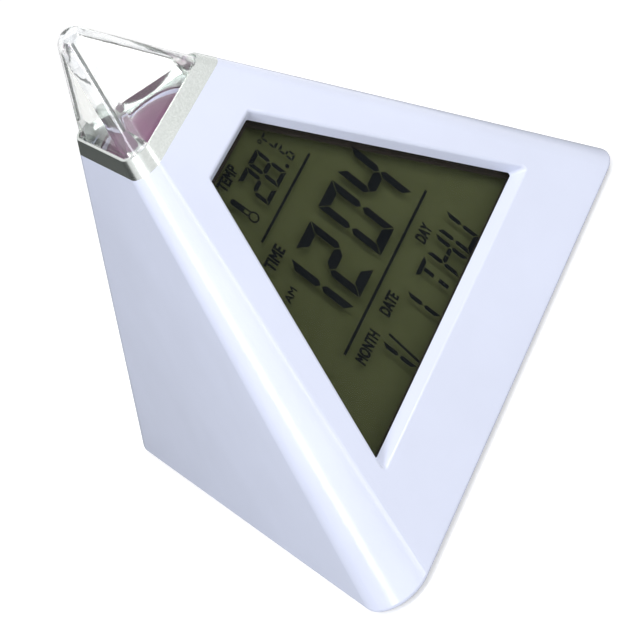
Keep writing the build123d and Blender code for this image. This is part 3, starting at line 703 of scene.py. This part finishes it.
# Dry cells.
# Two steel cans that lie side by side, head to tail, each in a plain printed sleeve: dark blue, with a
# pale band at the head. The rolled ends of the can stay bare.
cells_low, cells_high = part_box("aaa_cells")
cell_middle = (cells_low + cells_high) / 2
bare_steel = (0.60, 0.60, 0.61)
sleeve_blue = (0.030, 0.055, 0.130)
sleeve_pale = (0.58, 0.60, 0.63)
sleeve_start, pale_start, sleeve_end = 0.022, 0.74, 0.955
sleeve_bands = (
    (0.0, bare_steel), (sleeve_start, sleeve_blue), (pale_start, sleeve_pale), (sleeve_end, bare_steel),
)
bare_bands = ((0.0, (1, 1, 1)), (sleeve_start, (0, 0, 0)), (sleeve_end, (1, 1, 1)))
sleeve_smooth, sleeve_rough = 0.24, 0.36
sleeve_cloud = 0.003


def along_cells(material):
    """Share of the way from the flat end of a cell to its head, the rear cell being turned round."""
    tree = material.node_tree
    parts = tree.nodes.new("ShaderNodeSeparateXYZ")
    tree.links.new(object_place(tree), parts.inputs["Vector"])
    turned = tree.nodes.new("ShaderNodeMath")
    turned.operation = "GREATER_THAN"
    turned.inputs[1].default_value = cell_middle.y
    tree.links.new(parts.outputs["Y"], turned.inputs[0])
    front_share = spread(tree, parts.outputs["X"], 0.0, 1.0, cells_low.x, cells_high.x)
    rear_share = spread(tree, parts.outputs["X"], 0.0, 1.0, cells_high.x, cells_low.x)
    choice = tree.nodes.new("ShaderNodeMix")
    tree.links.new(turned.outputs["Value"], choice.inputs["Factor"])
    tree.links.new(front_share, choice.inputs["A"])
    tree.links.new(rear_share, choice.inputs["B"])
    return choice.outputs["Result"]


def bands(material, share, steps):
    """Colour that changes in steps along a share."""
    tree = material.node_tree
    ramp = tree.nodes.new("ShaderNodeValToRGB")
    ramp.color_ramp.interpolation = "CONSTANT"
    while len(ramp.color_ramp.elements) < len(steps):
        ramp.color_ramp.elements.new(1.0)
    for element, (position, colour) in zip(ramp.color_ramp.elements, steps):
        element.position = position
        element.color = (*colour, 1)
    tree.links.new(share, ramp.inputs["Fac"])
    return ramp.outputs["Color"]


cell_sleeve, _ = principled("cell_sleeve", sleeve_rough)
cell_share = along_cells(cell_sleeve)
feed(cell_sleeve, "Base Color", bands(cell_sleeve, cell_share, sleeve_bands))
feed(cell_sleeve, "Metallic", bands(cell_sleeve, cell_share, bare_bands))
vary_roughness(cell_sleeve, noise(cell_sleeve, sleeve_cloud, detail=3), sleeve_smooth, sleeve_rough)
dress(cell_sleeve, "aaa_cells")

# Electronics.
# Lacquered boards, components of black resin and plastic, a white display frame, a rubber connector and grey
# ribbon wires. Each finish: name, colour, roughness, size of its patches and of its grain, and its pieces.
component_grain_depth = 0.00001
component_finishes = (
    ("green_laminate", (0.04, 0.20, 0.09), 0.4, 0.004, 0.0005,
     ("main_board", "lamp_board", "key_board")),
    ("black_component", (0.03, 0.03, 0.035), 0.45, 0.003, 0.0003,
     ("chip_blob", "capacitors", "thermistor", "tip_switch", "key_switches", "buzzer")),
    ("switch_button_black", (0.06, 0.06, 0.07), 0.4, 0.002, 0.0003,
     ("tip_switch_button", "mode_switch_button", "set_switch_button", "up_switch_button",
      "down_switch_button")),
    ("frame_white", (0.75, 0.75, 0.75), 0.5, 0.006, 0.0004, ("lcd_frame",)),
    ("connector_rubber", (0.12, 0.12, 0.14), 0.7, 0.002, 0.0003, ("zebra_strip",)),
    ("wire_cover", (0.45, 0.45, 0.47), 0.55, 0.004, 0.0004,
     ("lamp_ribbon", "key_ribbon", "battery_leads")),
)
for name, colour, roughness, patch, grain, pieces in component_finishes:
    dress(moulded(name, colour, roughness, patch, grain, component_grain_depth), *pieces)

# Stage, light and camera.
# Pale table and four soft boxes: a small key from the upper right, a wide one overhead, one on the left for
# the ridge and a tall one in front. A dark card behind the clock, which only gloss sees, shades the collar.
stage_white = (0.75, 0.75, 0.75)
stage_roughness = 0.9
floor_half = 3.0
floor_near, floor_far = 0.2, 0.6
floor_lift_near, floor_lift_far = 0.5, 1.0
card_colour = (0.14, 0.15, 0.14)
card_middle = (-0.20, 0.27, 0.0002)
card_width, card_length, card_height = 1.0, 0.66, 0.3
ambient_level = 0.33
light_aim = Vector((0, -0.01, 0.04))
plain_white = (1, 1, 1)
ridge_white = (0.93, 0.95, 1.0)
camera_place = Vector((-0.265047, -0.328419, 0.239895))
camera_right = Vector((0.37309269, -0.72232576, -0.58227772))
camera_up = Vector((0.73385924, -0.15424253, 0.66155866))
camera_lens = 151.08
camera_sensor = 36


def seen_ray(tree):
    """One for rays from the camera, from gloss and through clear plastic, and zero for the rest."""
    path = tree.nodes.new("ShaderNodeLightPath")
    total = path.outputs["Is Camera Ray"]
    for kind in ("Is Glossy Ray", "Is Transmission Ray"):
        total = combine(tree, "ADD", total, path.outputs[kind])
    return total


def softbox(name, direction, distance, width, height, power, colour):
    """Area lamp that looks at the middle of the clock."""
    toward = Vector(direction)
    bpy.ops.object.light_add(type="AREA", location=light_aim + toward.normalized() * distance)
    lamp = bpy.context.object
    lamp.name = name
    lamp.data.shape = "RECTANGLE"
    lamp.data.size = width
    lamp.data.size_y = height
    lamp.data.energy = power
    lamp.data.color = colour
    lamp.rotation_mode = "QUATERNION"
    lamp.rotation_quaternion = toward.to_track_quat("Z", "Y")


bpy.ops.mesh.primitive_plane_add(size=2 * floor_half, location=(0, 0, 0))
floor = bpy.context.object
floor.name = "floor"
floor_paint, shader = principled("floor_paint", stage_roughness)
shader.inputs["Base Color"].default_value = (*stage_white, 1)
shader.inputs["Emission Color"].default_value = (1, 1, 1, 1)
floor_tree = floor_paint.node_tree
away = vector_step(floor_tree, "LENGTH", object_place(floor_tree)).outputs["Value"]
floor_lift = spread(floor_tree, away, floor_lift_near, floor_lift_far, floor_near, floor_far)
feed(floor_paint, "Emission Strength", combine(floor_tree, "MULTIPLY", floor_lift, seen_ray(floor_tree)))
floor.data.materials.append(floor_paint)

bpy.ops.mesh.primitive_plane_add(size=1, location=card_middle)
card = bpy.context.object
card.name = "reflection_card"
card.scale = (card_width, card_length, 1)
bpy.ops.object.transform_apply(location=True, rotation=True, scale=True)
open_mesh(card)
bpy.ops.mesh.select_all(action="DESELECT")
close_mesh()
for edge in card.data.edges:
    edge.select = all(card.data.vertices[index].co.y > card_middle[1] for index in edge.vertices)
bpy.ops.object.mode_set(mode="EDIT")
bpy.ops.mesh.extrude_edges_move(TRANSFORM_OT_translate={"value": (0, 0, card_height)})
close_mesh()
card_paint, shader = principled("card_paint", stage_roughness)
shader.inputs["Base Color"].default_value = (*card_colour, 1)
card.data.materials.append(card_paint)
card.visible_camera = False
card.visible_diffuse = False
card.visible_transmission = False
card.visible_shadow = False

world = bpy.data.worlds.new("studio")
bpy.context.scene.world = world
world.use_nodes = True
world_tree = world.node_tree
background = world_tree.nodes["Background"]
background.inputs["Color"].default_value = (1, 1, 1, 1)
world_level = spread(world_tree, seen_ray(world_tree), ambient_level, 1.0)
world_tree.links.new(world_level, background.inputs["Strength"])

softbox("key_light", direction=(0.39, -0.59, 0.71), distance=0.30,
        width=0.069, height=0.069, power=0.285, colour=plain_white)
softbox("top_light", direction=(-0.1, -0.1, 1), distance=0.36,
        width=0.27, height=0.27, power=0.40, colour=plain_white)
softbox("ridge_light", direction=(-0.775, -0.10, 0.62), distance=0.42,
        width=0.112, height=0.280, power=1.05, colour=ridge_white)
softbox("front_light", direction=(0.285, -0.936, 0.16), distance=0.7,
        width=0.07, height=0.5, power=0.65, colour=plain_white)

bpy.ops.object.camera_add()
camera = bpy.context.object
camera.data.lens = camera_lens
camera.data.sensor_width = camera_sensor
camera_back = camera_right.cross(camera_up)
camera_turn = Matrix((camera_right, camera_up, camera_back)).transposed()
camera.matrix_world = Matrix.Translation(camera_place) @ camera_turn.to_4x4()
bpy.context.scene.camera = camera
bpy.context.scene.view_settings.view_transform = "Standard"
